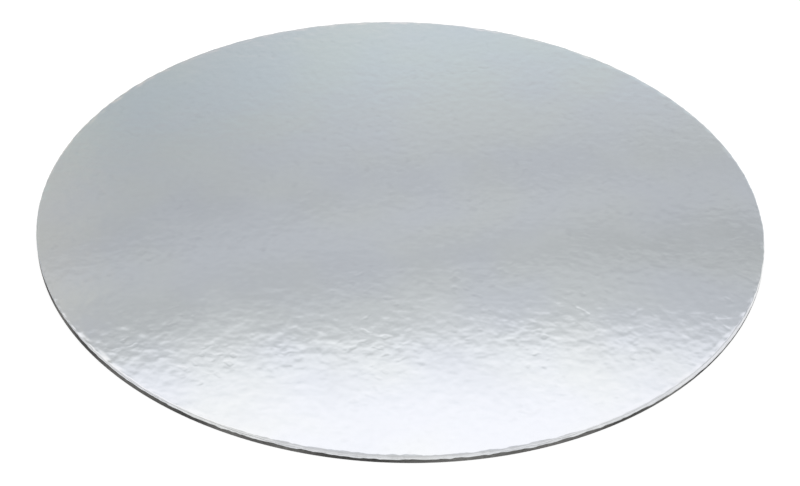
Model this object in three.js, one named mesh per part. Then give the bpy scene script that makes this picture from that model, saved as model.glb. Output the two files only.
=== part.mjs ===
// A round cake board: one disc of thick greyboard with a silver foil face, die cut from above.
// The blade draws the foil down over the rim, so the upper edge is a soft roll,
// and the lower two thirds of the rim are a plain cut wall.
// Millimetres, +Z up, with the origin at the centre of the underside.

import * as THREE from "three";

// The blank
const boardDiameter = 304.8;
const boardThickness = 3;

// The roll that the blade leaves round the upper edge
const rollWidth = 1.3;
const rollDepth = 1;

// Fineness of the turned surface
const stepsRound = 144;
const stepsOverRoll = 6;

const silverFoil = new THREE.MeshStandardMaterial({
  name: "silver_foil",
  color: new THREE.Color(0.66, 0.69, 0.71),
  metalness: 1,
  roughness: 0.22,
});

// Half of the board's section, from the axis along the underside, up the rim and back over the face.
function boardSection() {
  const rimRadius = boardDiameter / 2;
  const faceRadius = rimRadius - rollWidth;
  // The roll never takes more than the upper half of the board.
  const rollDrop = Math.min(rollDepth, boardThickness / 2);
  const wallHeight = boardThickness - rollDrop;
  const section = new THREE.Path();
  section.moveTo(0, 0);
  section.lineTo(rimRadius, 0);
  section.lineTo(rimRadius, wallHeight);
  section.absellipse(faceRadius, wallHeight, rollWidth, rollDrop, 0, Math.PI / 2);
  section.lineTo(0, boardThickness);
  // A path cuts an ellipse into twice the divisions that it is given.
  return section.getPoints(stepsOverRoll / 2);
}

function cakeBoard() {
  const turned = new THREE.LatheGeometry(boardSection(), stepsRound);
  turned.rotateX(Math.PI / 2);
  const mesh = new THREE.Mesh(turned, silverFoil);
  mesh.name = "cake_board";
  return mesh;
}

const part = new THREE.Group();
part.name = "round_cake_board";
part.add(cakeBoard());

export default part;
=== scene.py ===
import math

import bpy
from mathutils import Matrix, Vector


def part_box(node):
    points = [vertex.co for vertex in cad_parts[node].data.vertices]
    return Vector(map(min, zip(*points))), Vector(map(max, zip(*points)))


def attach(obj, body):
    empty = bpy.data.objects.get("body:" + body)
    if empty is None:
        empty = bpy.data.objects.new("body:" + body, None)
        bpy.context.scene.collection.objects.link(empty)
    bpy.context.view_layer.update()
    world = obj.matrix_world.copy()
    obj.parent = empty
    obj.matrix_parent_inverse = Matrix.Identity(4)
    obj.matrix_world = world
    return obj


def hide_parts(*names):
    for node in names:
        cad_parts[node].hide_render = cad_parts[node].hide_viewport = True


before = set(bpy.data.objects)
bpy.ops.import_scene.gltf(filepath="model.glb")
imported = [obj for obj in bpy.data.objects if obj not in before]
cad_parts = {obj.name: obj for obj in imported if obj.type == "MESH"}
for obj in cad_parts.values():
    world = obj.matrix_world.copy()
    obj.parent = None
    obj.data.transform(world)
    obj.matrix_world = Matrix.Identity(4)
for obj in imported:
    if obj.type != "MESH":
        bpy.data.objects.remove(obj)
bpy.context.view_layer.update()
print("frame loaded")


# Small helpers for every node tree

socketKinds = {
    int: "NodeSocketInt",
    float: "NodeSocketFloat",
    bpy.types.Material: "NodeSocketMaterial",
}


def addNode(tree, kind, inputs=None, **settings):
    made = tree.nodes.new(kind)
    for name, value in settings.items():
        setattr(made, name, value)
    for socket, value in (inputs or {}).items():
        if isinstance(value, bpy.types.NodeSocket):
            tree.links.new(value, made.inputs[socket])
        else:
            made.inputs[socket].default_value = value
    return made


def calc(tree, operation, *values):  # one Math node
    return addNode(tree, "ShaderNodeMath", dict(enumerate(values)), operation=operation).outputs[0]


def product(tree, first, *others):
    for other in others:
        first = calc(tree, "MULTIPLY", first, other)
    return first


def smooth(tree, value, low, high, first=0.0, last=1.0):  # an eased step from low to high
    inputs = {"Value": value, "From Min": low, "From Max": high, "To Min": first, "To Max": last}
    return addNode(tree, "ShaderNodeMapRange", inputs, interpolation_type="SMOOTHSTEP").outputs[0]


def mixColors(tree, share, first, last):
    inputs = {"Factor": share, 6: first, 7: last}
    return addNode(tree, "ShaderNodeMix", inputs, data_type="RGBA").outputs[2]


def scaled(tree, color, share):  # a colour made darker or lighter
    inputs = {0: color, "Scale": share}
    return addNode(tree, "ShaderNodeVectorMath", inputs, operation="SCALE").outputs[0]


def noise(tree, place, size, seed=0.0, detail=0.0, roughness=0.5):  # lumps of that size, in metres
    inputs = {
        "Vector": place,
        "W": seed,
        "Scale": calc(tree, "DIVIDE", 1.0, size),
        "Detail": detail,
        "Roughness": roughness,
    }
    return addNode(tree, "ShaderNodeTexNoise", inputs, noise_dimensions="4D").outputs["Fac"]


def mask(tree, place, finish, name, first=0.0, last=1.0):  # a finish's noise, eased between two levels
    levels = noise(tree, place, **finish[name])
    return smooth(tree, levels, *finish[name + "Span"], first, last)


def openMaterial(name):
    made = bpy.data.materials.new(name)
    made.use_nodes = True
    tree = made.node_tree
    shader = tree.nodes["Principled BSDF"]
    place = addNode(tree, "ShaderNodeTexCoord").outputs["Object"]
    return made, tree, shader, place


# Camera, at the photograph's angle

photoView = {
    "elevation": 37.32,  # degrees above the table
    "roll": 1.59,
    "distance": 0.7478,
    "lens": 81.2,
    "aimX": -0.0002,
    "aimY": -0.0228,
    "nearest": 0.01,  # nothing nearer or further than these two is seen
    "furthest": 60.0,
}


def makeCamera(view):
    camera = bpy.data.objects.new("photoCamera", bpy.data.cameras.new("photoCamera"))
    bpy.context.scene.collection.objects.link(camera)
    camera.data.lens = view["lens"]
    camera.data.clip_start = view["nearest"]
    camera.data.clip_end = view["furthest"]
    tilt = math.radians(view["elevation"])
    roll = math.radians(view["roll"])
    ahead = Vector((0, math.cos(tilt), -math.sin(tilt)))
    level = Vector((1, 0, 0))
    upright = Vector((0, math.sin(tilt), math.cos(tilt)))
    right = level * math.cos(roll) + upright * math.sin(roll)
    up = upright * math.cos(roll) - level * math.sin(roll)
    aim = Vector((view["aimX"], view["aimY"], 0))
    turned = Matrix((right, up, -ahead)).transposed().to_4x4()
    camera.matrix_world = Matrix.Translation(aim - ahead * view["distance"]) @ turned
    bpy.context.scene.camera = camera


makeCamera(photoView)
print("camera placed")


# Room: a pale floor, a white horizon that fades to grey, and one soft box behind the board.
# Heights in the room are sines of the elevation, and places across it are the X of the direction.

room = {
    "floorSize": 16.0,
    "floorDrop": 0.0001,  # below the board's underside
    "floorColor": (0.46, 0.46, 0.46, 1),
    "floorGlow": 0.72,  # brings the floor to white for the camera and in reflections
    "horizonTop": 0.46,  # where the white ends
    "horizon": (1.0, 1.0, 1.0, 1),
    "greys": (  # height, how light the studio's wall is there, and its share of red
        (0.515, 0.86, 0.905),
        (0.555, 0.745, 0.96),
        (0.581, 0.655, 0.965),
        (0.597, 0.778, 0.965),
        (0.612, 0.65, 0.965),
        (0.634, 0.77, 0.965),
        (0.85, 0.76, 0.965),
        (1.0, 0.95, 0.98),
    ),
    "greyBlue": 1.035,
    "slant": 0.13,  # how far the bands on the wall drop towards the right
    "leftSpan": (-0.17, 0.02),  # a span is where something comes in, from its first value to its second
    "leftHeights": (0.53, 0.625),
    "leftShades": (0.765, 0.957),  # how light the left is at those two heights
    "rightSpan": (0.08, 0.2),
    "rightHeights": (0.52, 0.64),
    "rightShades": (1.0, 0.903),
    "bandFoot": (0.599, 0.611),  # a dark band at the right
    "bandHead": (0.621, 0.612),
    "bandSpan": (0.05, 0.14),
    "bandShade": -0.1,
    "warmSpan": (-0.15, -0.195),  # a warmer patch at the far left
    "warmEnd": (-0.5, -0.3),
    "warmTint": (1.09, 1.06, 1.01, 1),
    "sideSpan": (0.3, 0.8),  # both side walls are darker
    "sideShade": 0.7,
    "backSpan": (0.25, -0.15),  # the ceiling behind the camera and to its sides
    "backBow": -0.6,
    "backFoot": (0.22, 0.42),
    "backHeights": (0.5, 0.76),
    "backGlows": (1.25, 1.0),
    "cameraSpan": (0.15, 0.5),  # the camera and its stand take some of that light away
    "cameraShade": 0.84,
    "boxFoot": (0.6471, 0.6507),  # the soft box's foot, where a share of its light starts
    "boxFootShare": 0.64,
    "boxFootTint": (0.92, 0.945, 0.985),
    "boxFade": (0.641, 0.688),  # the rest comes in slowly
    "boxFadeTint": (1.05, 0.88, 0.82),
    "boxHead": (0.94, 0.87),
    "boxEnd": (0.5, 0.16),
    "boxFront": (0.0, 0.3),
    "boxSlant": 0.054,  # how far its foot drops towards the right
    "boxBow": 0.025,  # and towards both ends
    "boxGlow": 0.668,
}


def makeFloor(sizes):
    half = sizes["floorSize"] / 2
    drop = -sizes["floorDrop"]
    mesh = bpy.data.meshes.new("paleFloor")
    corners = [(-half, -half, drop), (half, -half, drop), (half, half, drop), (-half, half, drop)]
    mesh.from_pydata(corners, [], [(0, 1, 2, 3)])
    floor = bpy.data.objects.new("paleFloor", mesh)
    bpy.context.scene.collection.objects.link(floor)
    paint = bpy.data.materials.new("paleFloor")
    paint.use_nodes = True
    tree = paint.node_tree
    tree.nodes.clear()
    rays = addNode(tree, "ShaderNodeLightPath").outputs
    seen = calc(tree, "MAXIMUM", rays["Is Camera Ray"], rays["Is Glossy Ray"])
    seen = calc(tree, "MAXIMUM", seen, rays["Is Transmission Ray"])
    glow = calc(tree, "MULTIPLY", seen, sizes["floorGlow"])
    lit = addNode(tree, "ShaderNodeBsdfDiffuse", {"Color": sizes["floorColor"]})
    own = addNode(tree, "ShaderNodeEmission", {"Strength": glow})
    both = addNode(tree, "ShaderNodeAddShader", {0: lit.outputs[0], 1: own.outputs[0]})
    addNode(tree, "ShaderNodeOutputMaterial", {"Surface": both.outputs[0]})
    mesh.materials.append(paint)


def makeSky(sizes):
    world = bpy.data.worlds.new("studio")
    world.use_nodes = True
    tree = world.node_tree
    tree.nodes.clear()
    way = addNode(tree, "ShaderNodeTexCoord").outputs["Generated"]
    at = addNode(tree, "ShaderNodeSeparateXYZ", {"Vector": way}).outputs
    height = calc(tree, "MULTIPLY_ADD", at["X"], sizes["slant"], at["Z"])
    ramp = addNode(tree, "ShaderNodeValToRGB", {"Fac": height})
    ramp.color_ramp.interpolation = "EASE"
    stops = ramp.color_ramp.elements
    stops.remove(stops[1])
    stops[0].position = sizes["horizonTop"]
    stops[0].color = sizes["horizon"]
    for position, grey, red in sizes["greys"]:
        stops.new(position).color = (grey * red, grey, grey * sizes["greyBlue"], 1)
    aside = calc(tree, "ABSOLUTE", at["X"])

    def step(value, name, *ends):
        return smooth(tree, value, *sizes[name], *ends)

    # The wall ahead, then the ceiling behind the camera
    left = step(at["Z"], "leftHeights", *sizes["leftShades"])
    left = step(at["X"], "leftSpan", left, 1.0)
    right = step(at["Z"], "rightHeights", *sizes["rightShades"])
    right = step(at["X"], "rightSpan", 1.0, right)
    band = product(tree, step(height, "bandFoot"), step(height, "bandHead"), step(at["X"], "bandSpan"))
    right = calc(tree, "MULTIPLY_ADD", band, sizes["bandShade"], right)
    ahead = product(tree, left, right, step(aside, "sideSpan", 1.0, sizes["sideShade"]))
    behind = calc(tree, "MULTIPLY_ADD", aside, sizes["backBow"], at["Y"])
    behind = product(tree, step(behind, "backSpan"), step(at["Z"], "backFoot"))
    back = step(at["Z"], "backHeights", *sizes["backGlows"])
    back = product(tree, back, step(aside, "cameraSpan", sizes["cameraShade"], 1.0))
    glow = calc(tree, "MULTIPLY_ADD", behind, calc(tree, "SUBTRACT", back, ahead), ahead)
    warm = product(tree, step(at["X"], "warmSpan"), step(at["X"], "warmEnd"))
    warm = mixColors(tree, warm, sizes["horizon"], sizes["warmTint"])
    tinted = {0: ramp.outputs["Color"], 1: warm}
    color = addNode(tree, "ShaderNodeVectorMath", tinted, operation="MULTIPLY").outputs[0]
    color = scaled(tree, mixColors(tree, behind, color, sizes["horizon"]), glow)

    # The soft box, whose light comes in as a sharp foot and a slow fade
    foot = calc(tree, "MULTIPLY_ADD", at["X"], sizes["boxSlant"], at["Z"])
    foot = calc(tree, "MULTIPLY_ADD", aside, sizes["boxBow"], foot)
    box = product(tree, step(foot, "boxHead"), step(aside, "boxEnd"), step(at["Y"], "boxFront"))
    box = product(tree, box, sizes["boxGlow"])
    shares = {"boxFoot": sizes["boxFootShare"], "boxFade": 1.0 - sizes["boxFootShare"]}
    for name, share in shares.items():
        part = product(tree, box, step(foot, name, 0.0, share))
        added = {0: sizes[name + "Tint"], 1: part, 2: color}
        color = addNode(tree, "ShaderNodeVectorMath", added, operation="MULTIPLY_ADD").outputs[0]
    sky = addNode(tree, "ShaderNodeBackground", {"Color": color})
    addNode(tree, "ShaderNodeOutputWorld", {"Surface": sky.outputs[0]})
    bpy.context.scene.world = world


makeFloor(room)
makeSky(room)
view = bpy.context.scene.view_settings
view.view_transform = "Standard"
print("room lit")


# Finishes

foilFinish = {
    "cool": (0.675, 0.688, 0.716, 1),
    "warm": (0.688, 0.70, 0.698, 1),
    "tint": {"size": 0.05, "seed": 3.1, "detail": 2.0},
    "tintSpan": (0.35, 0.65),
    "mottle": {"size": 0.0032, "seed": 4.4, "detail": 2.0},
    "mottleSpan": (0.35, 0.65),
    "mottleLow": 0.988,  # how dark the foil's fine clouds are
    "roughness": 0.072,
    "smudge": {"size": 0.03, "seed": 7.7, "detail": 3.0},
    "smudgeSpan": (0.45, 0.7),
    "smudgeRoughness": 0.03,  # added where it has been handled
    "rollRoughness": 0.14,  # added where the foil is stretched over the rim
    # patches of painted shade over the rolled rim, standing in for its uneven reflection
    "painted": {"size": 0.0042, "seed": 9.4, "detail": 2.0},
    "paintedSpan": (0.4, 0.64),
    "rollPaintedShade": 0.16,  # painted shade: how much darker the foil's colour is made in patches over the rolled rim
    "grain": {"size": 0.0009, "seed": 1.3, "detail": 3.0, "roughness": 0.6},
    "grainHeight": 0.0000015,
    "peel": {"size": 0.004, "seed": 5.9, "detail": 1.0, "roughness": 0.4},  # orange peel from the pulp
    "peelHeight": 0.000026,
    "lump": {"size": 0.0052, "seed": 8.2},  # single lumps in the pulp
    "lumpSpan": (0.42, 0.78),
    "lumpHeight": 0.000007,
    "dent": {"size": 0.0034, "seed": 6.1},
    "dentSpan": (0.58, 0.76),
    "dentHeight": 0.000006,
    "dentPaintedShade": 0.03,  # painted shade: how much darker the foil's colour is made in the dents
    "patch": {"size": 0.02, "seed": 2.4, "detail": 1.0},  # the dents come in patches
    "patchSpan": (0.45, 0.65),
}


def makeFoil(finish):
    made, tree, shader, place = openMaterial("silverFoil")
    tint = mask(tree, place, finish, "tint")
    color = mixColors(tree, tint, finish["cool"], finish["warm"])
    smudge = mask(tree, place, finish, "smudge")
    roll = addNode(tree, "ShaderNodeAttribute", attribute_name="rollShare").outputs["Fac"]
    rough = calc(tree, "MULTIPLY_ADD", smudge, finish["smudgeRoughness"], finish["roughness"])
    rough = calc(tree, "MULTIPLY_ADD", roll, finish["rollRoughness"], rough)
    # the dent mask sinks the surface and also darkens its colour there, as painted shade
    dent = product(tree, mask(tree, place, finish, "dent"), mask(tree, place, finish, "patch"), -1.0)
    shade = mask(tree, place, finish, "mottle", finish["mottleLow"])
    shade = calc(tree, "MULTIPLY_ADD", dent, finish["dentPaintedShade"], shade)
    # darker patches on the rolled rim, painted shade
    painted = mask(tree, place, finish, "painted", 0.0, -finish["rollPaintedShade"])
    shade = calc(tree, "MULTIPLY_ADD", painted, roll, shade)
    color = scaled(tree, color, shade)
    heights = {
        "grain": noise(tree, place, **finish["grain"]),
        "peel": noise(tree, place, **finish["peel"]),
        "lump": mask(tree, place, finish, "lump"),
        "dent": dent,
    }
    normal = None
    for name, height in heights.items():
        bumped = {"Height": height, "Distance": finish[name + "Height"], "Strength": 1.0}
        if normal:
            bumped["Normal"] = normal
        normal = addNode(tree, "ShaderNodeBump", bumped).outputs[0]
    tree.links.new(color, shader.inputs["Base Color"])
    tree.links.new(rough, shader.inputs["Roughness"])
    tree.links.new(normal, shader.inputs["Normal"])
    shader.inputs["Metallic"].default_value = 1.0
    return made


fibreSockets = {
    "Vector": ("INPUT", "NodeSocketVector"),
    "Fibre Size": ("INPUT", "NodeSocketFloat"),
    "Fleck Size": ("INPUT", "NodeSocketFloat"),
    "Shade": ("OUTPUT", "NodeSocketFloat"),
    "Height": ("OUTPUT", "NodeSocketFloat"),
}


fibreLook = {
    "matted": {"seed": 2.0, "detail": 4.0, "roughness": 0.7},
    "fleck": {"seed": 9.0, "detail": 2.0},
    "fleckSpan": (0.6, 0.72),
    "fleckShade": -0.45,
}


def makeFibreGroup(look):  # pulp: matted fibres with darker flecks, for the core and the lining
    tree = bpy.data.node_groups.new("paperFibre", "ShaderNodeTree")
    for name, (side, kind) in fibreSockets.items():
        tree.interface.new_socket(name=name, in_out=side, socket_type=kind)
    given = addNode(tree, "NodeGroupInput").outputs
    matted = noise(tree, given["Vector"], given["Fibre Size"], **look["matted"])
    flecks = noise(tree, given["Vector"], given["Fleck Size"], **look["fleck"])
    flecks = smooth(tree, flecks, *look["fleckSpan"])
    shade = calc(tree, "MULTIPLY_ADD", flecks, look["fleckShade"], matted)
    addNode(tree, "NodeGroupOutput", {"Shade": shade, "Height": matted})
    return tree


fibreGroup = makeFibreGroup(fibreLook)

coreFinish = {
    "name": "greyCore",
    # the cut wall's pulp is coloured darker than grey board is, partly its own colour and partly
    # painted shade under the foil's rim
    "dark": (0.133, 0.132, 0.128, 1),
    "light": (0.333, 0.327, 0.316, 1),
    "stretch": (1.0, 1.0, 9.0),  # the plies lie flat
    "fibreSize": 0.0016,
    "fleckSize": 0.003,
    "pulpSpan": (0.3, 0.7),  # from dark to light
    "cloud": {"size": 0.034, "seed": 59.3, "detail": 1.0},  # slow changes of shade: painted shade along the cut wall together with the board's own uneven tone
    "cloudSpan": (0.35, 0.65),
    "cloudLow": 0.3,
    "bumpHeight": 0.00012,
    "roughness": 0.92,
}
liningFinish = {
    "name": "whiteLining",
    "dark": (0.60, 0.59, 0.57, 1),
    "light": (0.80, 0.79, 0.77, 1),
    "stretch": (1.0, 0.35, 1.0),  # the paper's machine direction
    "fibreSize": 0.0012,
    "fleckSize": 0.004,
    "pulpSpan": (0.3, 0.7),
    "cloud": {"size": 0.06, "seed": 6.6, "detail": 1.0},
    "cloudSpan": (0.35, 0.65),
    "cloudLow": 0.96,
    "bumpHeight": 0.00002,
    "roughness": 0.85,
}


def makePaper(finish):
    made, tree, shader, place = openMaterial(finish["name"])
    laid = {"Vector": place, "Scale": finish["stretch"]}
    laid = addNode(tree, "ShaderNodeMapping", laid).outputs[0]
    fibre = {"Vector": laid, "Fibre Size": finish["fibreSize"], "Fleck Size": finish["fleckSize"]}
    pulp = addNode(tree, "ShaderNodeGroup", fibre, node_tree=fibreGroup).outputs
    shade = smooth(tree, pulp["Shade"], *finish["pulpSpan"])
    color = mixColors(tree, shade, finish["dark"], finish["light"])
    color = scaled(tree, color, mask(tree, place, finish, "cloud", finish["cloudLow"]))
    raised = {"Height": pulp["Height"], "Distance": finish["bumpHeight"], "Strength": 1.0}
    tree.links.new(color, shader.inputs["Base Color"])
    tree.links.new(addNode(tree, "ShaderNodeBump", raised).outputs[0], shader.inputs["Normal"])
    shader.inputs["Roughness"].default_value = finish["roughness"]
    return made


silverFoil = makeFoil(foilFinish)
greyCore = makePaper(coreFinish)
whiteLining = makePaper(liningFinish)
print("finishes made")


# The board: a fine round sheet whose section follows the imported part

def readSection(node):  # the blank's sizes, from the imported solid
    low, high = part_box(node)
    points = [corner.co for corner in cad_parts[node].data.vertices]
    hair = 0.00001
    rim = (high.x - low.x) / 2
    face = max(math.hypot(p.x, p.y) for p in points if p.z > high.z - hair)
    wall = max(p.z for p in points if math.hypot(p.x, p.y) > rim - hair)
    return {"Rim Radius": rim, "Face Radius": face, "Thickness": high.z, "Wall Height": wall}


boardSizes = {
    **readSection("cake_board"),
    "Band Width": 0.0032,  # of finer rings inside the roll
    "Face Steps": 250,
    "Band Steps": 8,
    "Roll Steps": 10,
    "Wall Steps": 7,
    "Under Steps": 3,
    "Ring Slack": 0.25,  # a point this near to a ring, in steps, counts as on it
    "Merge Distance": 0.000003,
    "Dull Way": math.radians(-88),  # where the blade is dull and drags the foil furthest
    "Width Reach": math.radians(30),  # how far round the rim from there it still does
    "Sharp Width": 0.38,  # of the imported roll, away from there
    "Dull Width": 1.12,
    "Depth Reach": math.radians(64),
    "Sharp Depth": 0.15,
    "Dull Depth": 1.2,
    "Drawn Way": math.radians(-5),  # where the foil is drawn further down the wall
    "Drawn Reach": math.radians(60),
    "Drawn Depth": 1.8,
    "Width Wobble": 0.45,  # how far the roll's size varies from place to place
    "Width Seed": 1.0,
    "Depth Wobble": 0.22,
    "Depth Seed": 2.0,
    "Wobble Size": 0.006,
    "Wobble Detail": 3.0,
    "Wobble Roughness": 0.6,
    "Wobble Low": 0.35,
    "Wobble High": 0.65,
    "Sway Height": 0.00006,  # the sheet's slow waves
    "Sway Size": 0.11,
    "Sway Detail": 0.0,
    "Peel Height": 0.00002,
    "Peel Size": 0.0065,
    "Peel Detail": 1.5,
    "Pleat Depth": 0.00006,  # creases where the foil starts to bend
    "Pleat Size": 0.005,
    "Pleat Detail": 2.0,
    "Pleat Low": 0.42,
    "Pleat High": 0.68,
    "Pleat Steps": 4.0,  # how many rings to each side they reach
    "Draw Height": 0.0003,  # how unevenly the foil comes down the wall
    "Draw Size": 0.004,
    "Draw Detail": 2.0,
    "Draw Low": 0.4,
    "Draw High": 0.68,
    "Cut Depth": 0.00012,  # how rough the cut wall is
    "Cut Share": 0.4,  # of the draw's size
    "Cut Detail": 3.0,
    "Cut Fade": 0.2,  # of the wall, below the foil
    "Seed": 4.0,
    "Foil": silverFoil,
    "Core": greyCore,
    "Lining": whiteLining,
}


def openTree(name, sizes):  # a geometry tree with one named input for each size
    tree = bpy.data.node_groups.new(name, "GeometryNodeTree")
    tree.is_modifier = True
    for label, value in sizes.items():
        tree.interface.new_socket(name=label, in_out="INPUT", socket_type=socketKinds[type(value)])
    tree.interface.new_socket(name="Mesh", in_out="OUTPUT", socket_type="NodeSocketGeometry")
    return tree, addNode(tree, "NodeGroupInput").outputs


def readPlace(tree):
    place = addNode(tree, "GeometryNodeInputPosition").outputs[0]
    return place, addNode(tree, "ShaderNodeSeparateXYZ", {"Vector": place}).outputs


def setPlace(tree, mesh, x, y, z):
    place = addNode(tree, "ShaderNodeCombineXYZ", {"X": x, "Y": y, "Z": z}).outputs[0]
    moved = {"Geometry": mesh, "Position": place}
    return addNode(tree, "GeometryNodeSetPosition", moved).outputs[0]


def keep(tree, mesh, name, value):  # stores a value on the points
    stored = {"Geometry": mesh, "Name": name, "Value": value}
    return addNode(tree, "GeometryNodeStoreNamedAttribute", stored, data_type="FLOAT").outputs[0]


def kept(tree, name):
    return addNode(tree, "GeometryNodeInputNamedAttribute", {"Name": name}).outputs["Attribute"]


def squareToRound(tree, across, along):  # across times the root of 1 less half of along squared
    bent = calc(tree, "MULTIPLY_ADD", product(tree, along, along), -0.5, 1.0)
    return product(tree, across, calc(tree, "SQRT", bent))


def makeFace(tree, given):  # a square grid from -1 to 1, pulled round
    count = calc(tree, "ADD", given["Face Steps"], 1)
    grid = {"Size X": 2.0, "Size Y": 2.0, "Vertices X": count, "Vertices Y": count}
    sheet = addNode(tree, "GeometryNodeMeshGrid", grid).outputs["Mesh"]
    at = readPlace(tree)[1]
    reach = calc(tree, "SUBTRACT", given["Face Radius"], given["Band Width"])
    x = product(tree, squareToRound(tree, at["X"], at["Y"]), reach)
    y = product(tree, squareToRound(tree, at["Y"], at["X"]), reach)
    sheet = setPlace(tree, sheet, x, y, given["Thickness"])
    return keep(tree, sheet, "rimStep", 0.0)


def nearWay(tree, angle, way, reach):  # 1 at that way round the rim, falling to 0 at that reach
    aside = calc(tree, "COSINE", calc(tree, "SUBTRACT", angle, way))
    return smooth(tree, aside, calc(tree, "COSINE", reach), 1.0)


def sizeShare(tree, given, angle, side):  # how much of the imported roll's size each place has
    dull = nearWay(tree, angle, given["Dull Way"], given[side + " Reach"])
    sharp = given["Sharp " + side]
    more = calc(tree, "SUBTRACT", given["Dull " + side], sharp)
    share = calc(tree, "MULTIPLY_ADD", dull, more, sharp)
    x = product(tree, calc(tree, "COSINE", angle), given["Rim Radius"])
    y = product(tree, calc(tree, "SINE", angle), given["Rim Radius"])
    place = addNode(tree, "ShaderNodeCombineXYZ", {"X": x, "Y": y}).outputs[0]
    seed = calc(tree, "ADD", given["Seed"], given[side + " Seed"])
    detail = given["Wobble Detail"]
    lumps = noise(tree, place, given["Wobble Size"], seed, detail, given["Wobble Roughness"])
    wobble = smooth(tree, lumps, given["Wobble Low"], given["Wobble High"], -1.0, 1.0)
    wobble = product(tree, wobble, given[side + " Wobble"])
    return product(tree, share, calc(tree, "ADD", wobble, 1.0))


def makeRim(tree, given):  # from the face's edge over the roll, down the wall and back under
    sides = 4  # of the square that the face is pulled from, each a quarter of the rim
    parts = ["Band Steps", "Roll Steps", "Wall Steps", "Under Steps"]
    total = 0.0
    for part in parts:
        total = calc(tree, "ADD", total, given[part])
    grid = {
        "Size X": sides,
        "Size Y": total,
        "Vertices X": calc(tree, "MULTIPLY_ADD", given["Face Steps"], sides, 1),
        "Vertices Y": calc(tree, "ADD", total, 1),
    }
    strip = addNode(tree, "GeometryNodeMeshGrid", grid).outputs["Mesh"]
    at = readPlace(tree)[1]
    step = calc(tree, "SUBTRACT", product(tree, total, 0.5), at["Y"])
    strip = keep(tree, strip, "rimStep", step)
    turn = calc(tree, "ADD", at["X"], sides / 2)
    along = calc(tree, "MULTIPLY_ADD", calc(tree, "FRACT", turn), math.sqrt(2), -math.sqrt(0.5))
    along = calc(tree, "ARCSINE", along)
    angle = calc(tree, "MULTIPLY_ADD", calc(tree, "FLOOR", turn), math.tau / sides, along)
    shares = []
    start = 0.0
    for part in parts:
        share = calc(tree, "DIVIDE", calc(tree, "SUBTRACT", kept(tree, "rimStep"), start), given[part])
        shares.append(addNode(tree, "ShaderNodeClamp", {"Value": share}).outputs[0])
        start = calc(tree, "ADD", start, given[part])
    band, roll, wall, under = shares
    strip = keep(tree, strip, "rollShare", roll)
    bend = product(tree, roll, math.pi / 2)
    rollWidth = calc(tree, "SUBTRACT", given["Rim Radius"], given["Face Radius"])
    rollWidth = product(tree, rollWidth, sizeShare(tree, given, angle, "Width"))
    drawn = nearWay(tree, angle, given["Drawn Way"], given["Drawn Reach"])
    deep = sizeShare(tree, given, angle, "Depth")
    deep = calc(tree, "MULTIPLY_ADD", drawn, given["Drawn Depth"], deep)
    rollDepth = calc(tree, "SUBTRACT", given["Thickness"], given["Wall Height"])
    rollDepth = product(tree, rollDepth, deep)
    inner = calc(tree, "SUBTRACT", given["Face Radius"], given["Band Width"])
    bandWidth = calc(tree, "SUBTRACT", calc(tree, "SUBTRACT", given["Rim Radius"], rollWidth), inner)
    reach = calc(tree, "MULTIPLY_ADD", band, bandWidth, inner)
    reach = calc(tree, "MULTIPLY_ADD", calc(tree, "SINE", bend), rollWidth, reach)
    reach = product(tree, reach, calc(tree, "SUBTRACT", 1.0, under))
    wallHeight = calc(tree, "SUBTRACT", given["Thickness"], rollDepth)
    height = calc(tree, "MULTIPLY_ADD", calc(tree, "COSINE", bend), rollDepth, wallHeight)
    height = product(tree, height, calc(tree, "SUBTRACT", 1.0, wall))
    x = product(tree, reach, calc(tree, "COSINE", angle))
    y = product(tree, reach, calc(tree, "SINE", angle))
    return setPlace(tree, strip, x, y, height)


def ringEnds(tree, given):  # the step where the foil ends, and the one where the wall does
    foilEnd = calc(tree, "ADD", given["Band Steps"], given["Roll Steps"])
    return foilEnd, calc(tree, "ADD", foilEnd, given["Wall Steps"])


def uneven(tree, given, place, name):  # the noise that drives one unevenness
    return noise(tree, place, given[name + " Size"], given["Seed"], given[name + " Detail"])


def roughen(tree, mesh, given):  # every unevenness goes into the solid, never out of it
    place, at = readPlace(tree)
    step = kept(tree, "rimStep")
    foilEnd, wallEnd = ringEnds(tree, given)
    onFoil = calc(tree, "LESS_THAN", step, calc(tree, "ADD", foilEnd, given["Ring Slack"]))
    wall = calc(tree, "DIVIDE", calc(tree, "SUBTRACT", step, foilEnd), given["Wall Steps"])
    wall = addNode(tree, "ShaderNodeClamp", {"Value": wall}).outputs[0]
    topShare = calc(tree, "DIVIDE", at["Z"], given["Thickness"])
    sway = product(tree, uneven(tree, given, place, "Sway"), given["Sway Height"], topShare)
    peel = product(tree, uneven(tree, given, place, "Peel"), given["Peel Height"], onFoil)
    bandEnd = calc(tree, "ABSOLUTE", calc(tree, "SUBTRACT", step, given["Band Steps"]))
    bandEnd = smooth(tree, bandEnd, given["Pleat Steps"], 0.0)
    pleat = smooth(tree, uneven(tree, given, place, "Pleat"), given["Pleat Low"], given["Pleat High"])
    pleat = product(tree, pleat, bandEnd, given["Pleat Depth"], onFoil)
    rollFoot = product(tree, kept(tree, "rollShare"), calc(tree, "SUBTRACT", 1.0, wall))
    draw = smooth(tree, uneven(tree, given, place, "Draw"), given["Draw Low"], given["Draw High"])
    draw = product(tree, draw, given["Draw Height"], rollFoot)
    sink = sway
    for more in (peel, pleat, draw):
        sink = calc(tree, "ADD", sink, more)
    cutSize = product(tree, given["Draw Size"], given["Cut Share"])
    cut = noise(tree, place, cutSize, given["Seed"], given["Cut Detail"])
    onWall = calc(tree, "LESS_THAN", step, calc(tree, "SUBTRACT", wallEnd, given["Ring Slack"]))
    onWall = product(tree, smooth(tree, wall, 0.0, given["Cut Fade"]), onWall)
    cut = product(tree, cut, given["Cut Depth"], onWall)
    keepShare = calc(tree, "SUBTRACT", 1.0, calc(tree, "DIVIDE", cut, given["Rim Radius"]))
    x = product(tree, at["X"], keepShare)
    y = product(tree, at["Y"], keepShare)
    return setPlace(tree, mesh, x, y, calc(tree, "SUBTRACT", at["Z"], sink))


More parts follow.
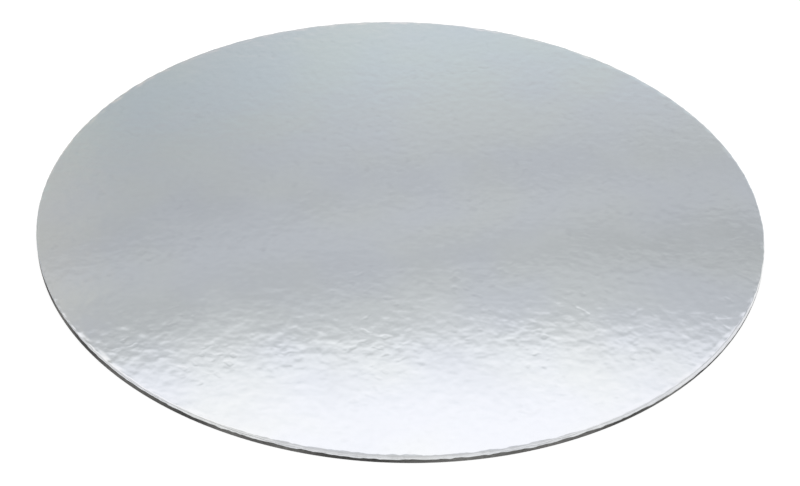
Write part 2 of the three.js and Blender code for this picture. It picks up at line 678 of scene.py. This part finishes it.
def finishBoard(tree, mesh, given):
    step = kept(tree, "rimStep")
    foilEnd, wallEnd = ringEnds(tree, given)
    onCore = calc(tree, "GREATER_THAN", step, calc(tree, "ADD", foilEnd, given["Ring Slack"]))
    onLining = calc(tree, "GREATER_THAN", step, calc(tree, "ADD", wallEnd, given["Ring Slack"]))
    edge = calc(tree, "COMPARE", step, wallEnd, given["Ring Slack"])
    smoothed = {"Geometry": mesh, "Shade Smooth": True}
    mesh = addNode(tree, "GeometryNodeSetShadeSmooth", smoothed, domain="FACE").outputs[0]
    creased = {"Geometry": mesh, "Selection": edge, "Shade Smooth": False}
    mesh = addNode(tree, "GeometryNodeSetShadeSmooth", creased, domain="EDGE").outputs[0]
    mesh = addNode(tree, "GeometryNodeRealizeInstances", {"Geometry": mesh}).outputs[0]
    for material, chosen in (("Foil", True), ("Core", onCore), ("Lining", onLining)):
        painted = {"Geometry": mesh, "Selection": chosen, "Material": given[material]}
        mesh = addNode(tree, "GeometryNodeSetMaterial", painted).outputs[0]
    return mesh


def makeBoardTree(sizes):
    tree, given = openTree("turnedBoard", sizes)
    face = makeFace(tree, given)
    rim = makeRim(tree, given)
    joined = addNode(tree, "GeometryNodeJoinGeometry")
    tree.links.new(rim, joined.inputs[0])
    tree.links.new(face, joined.inputs[0])
    merged = {"Geometry": joined.outputs[0], "Distance": given["Merge Distance"]}
    mesh = addNode(tree, "GeometryNodeMergeByDistance", merged).outputs[0]
    mesh = roughen(tree, mesh, given)
    mesh = finishBoard(tree, mesh, given)
    addNode(tree, "NodeGroupOutput", {"Mesh": mesh})
    return tree


def makeBoard(sizes):
    board = bpy.data.objects.new("silverBoard", bpy.data.meshes.new("silverBoard"))
    bpy.context.scene.collection.objects.link(board)
    modifier = board.modifiers.new("turnedBoard", "NODES")
    modifier.node_group = makeBoardTree(sizes)
    for socket in modifier.node_group.interface.items_tree:
        if socket.in_out == "INPUT":
            modifier[socket.identifier] = sizes[socket.name]
    ready = bpy.context.evaluated_depsgraph_get()
    turned = bpy.data.meshes.new_from_object(board.evaluated_get(ready))
    board.modifiers.remove(modifier)
    board.data = turned
    return board


board = makeBoard(boardSizes)
print("board turned,", len(board.data.polygons), "faces")

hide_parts("cake_board")
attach(board, "root")
